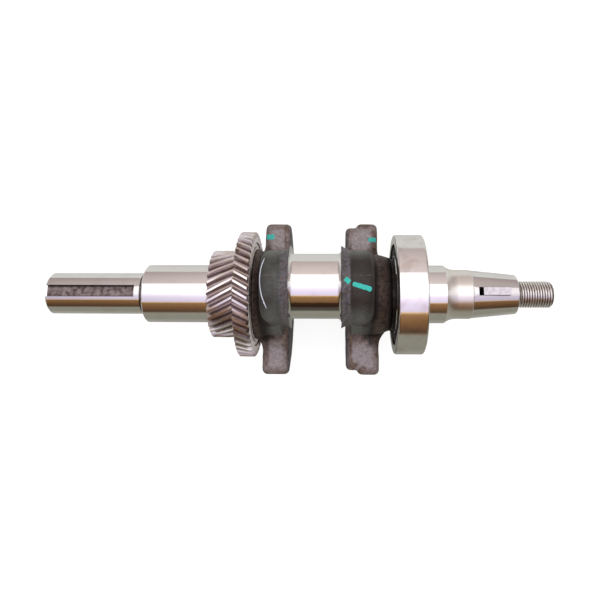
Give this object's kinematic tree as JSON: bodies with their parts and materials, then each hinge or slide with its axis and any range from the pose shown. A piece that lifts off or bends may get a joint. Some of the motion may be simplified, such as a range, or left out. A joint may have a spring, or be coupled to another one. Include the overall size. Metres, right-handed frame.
{
  "type": "engine crankshaft",
  "caption": "Forged one-throw crankshaft with counterweights, two helical gears, a deep-groove ball bearing, a keyed output shaft, a tapered flywheel seat and a threaded end.",
  "frame": {"origin": "centre of the ball bearing on the main shaft axis", "axes": "+X along the shaft from the keyed output end to the threaded flywheel end, +Z from the main axis through the crankpin, +Y completes the right-handed frame"},
  "size_m": [0.3041, 0.0962, 0.1059],
  "materials": {
    "forged_steel": "ground bright on journals, pin, taper and output shaft; scaled dark forging skin on webs and counterweights",
    "gear_steel": "hobbed and shaved, satin",
    "bearing_steel": "ground and honed",
    "ball_steel": "mirror polished",
    "cage_polymer": "moulded black",
    "key_steel": "drawn, satin"
  },
  "bodies": {
    "outer": {"bearing_outer_ring": "bearing_steel"},
    "crank": {"crankshaft_forging": "forged_steel", "timing_gear": "gear_steel", "balancer_gear": "gear_steel", "bearing_inner_ring": "bearing_steel", "woodruff_key": "key_steel"},
    "cage": {"ball_cage": "cage_polymer"},
    "ball_1_body": {"ball_1": "ball_steel"},
    "ball_2_body": {"ball_2": "ball_steel"},
    "ball_3_body": {"ball_3": "ball_steel"},
    "ball_4_body": {"ball_4": "ball_steel"},
    "ball_5_body": {"ball_5": "ball_steel"},
    "ball_6_body": {"ball_6": "ball_steel"},
    "ball_7_body": {"ball_7": "ball_steel"},
    "ball_8_body": {"ball_8": "ball_steel"},
    "ball_9_body": {"ball_9": "ball_steel"}
  },
  "joints": [
    {"name": "crank_spin", "type": "hinge", "parent": "outer", "child": "crank", "pos_m": [0, 0, 0], "axis": [1, 0, 0], "continuous": true},
    {"name": "cage_spin", "type": "hinge", "parent": "outer", "child": "cage", "pos_m": [0, 0, 0], "axis": [1, 0, 0], "continuous": true},
    {"name": "ball_1_spin", "type": "hinge", "parent": "cage", "child": "ball_1_body", "pos_m": [0, 0, 0.02675], "axis": [1, 0, 0], "continuous": true},
    {"name": "ball_2_spin", "type": "hinge", "parent": "cage", "child": "ball_2_body", "pos_m": [0, -0.01719, 0.02049], "axis": [1, 0, 0], "continuous": true},
    {"name": "ball_3_spin", "type": "hinge", "parent": "cage", "child": "ball_3_body", "pos_m": [0, -0.02634, 0.00464], "axis": [1, 0, 0], "continuous": true},
    {"name": "ball_4_spin", "type": "hinge", "parent": "cage", "child": "ball_4_body", "pos_m": [0, -0.02317, -0.01337], "axis": [1, 0, 0], "continuous": true},
    {"name": "ball_5_spin", "type": "hinge", "parent": "cage", "child": "ball_5_body", "pos_m": [0, -0.00915, -0.02514], "axis": [1, 0, 0], "continuous": true},
    {"name": "ball_6_spin", "type": "hinge", "parent": "cage", "child": "ball_6_body", "pos_m": [0, 0.00915, -0.02514], "axis": [1, 0, 0], "continuous": true},
    {"name": "ball_7_spin", "type": "hinge", "parent": "cage", "child": "ball_7_body", "pos_m": [0, 0.02317, -0.01337], "axis": [1, 0, 0], "continuous": true},
    {"name": "ball_8_spin", "type": "hinge", "parent": "cage", "child": "ball_8_body", "pos_m": [0, 0.02634, 0.00464], "axis": [1, 0, 0], "continuous": true},
    {"name": "ball_9_spin", "type": "hinge", "parent": "cage", "child": "ball_9_body", "pos_m": [0, 0.01719, 0.02049], "axis": [1, 0, 0], "continuous": true}
  ],
  "couplings": [
    {"joint": "cage_spin", "follows": "crank_spin", "ratio": 0.39626},
    {"joint": "ball_1_spin", "follows": "crank_spin", "ratio": -2.3062},
    {"joint": "ball_2_spin", "follows": "crank_spin", "ratio": -2.3062},
    {"joint": "ball_3_spin", "follows": "crank_spin", "ratio": -2.3062},
    {"joint": "ball_4_spin", "follows": "crank_spin", "ratio": -2.3062},
    {"joint": "ball_5_spin", "follows": "crank_spin", "ratio": -2.3062},
    {"joint": "ball_6_spin", "follows": "crank_spin", "ratio": -2.3062},
    {"joint": "ball_7_spin", "follows": "crank_spin", "ratio": -2.3062},
    {"joint": "ball_8_spin", "follows": "crank_spin", "ratio": -2.3062},
    {"joint": "ball_9_spin", "follows": "crank_spin", "ratio": -2.3062}
  ]
}
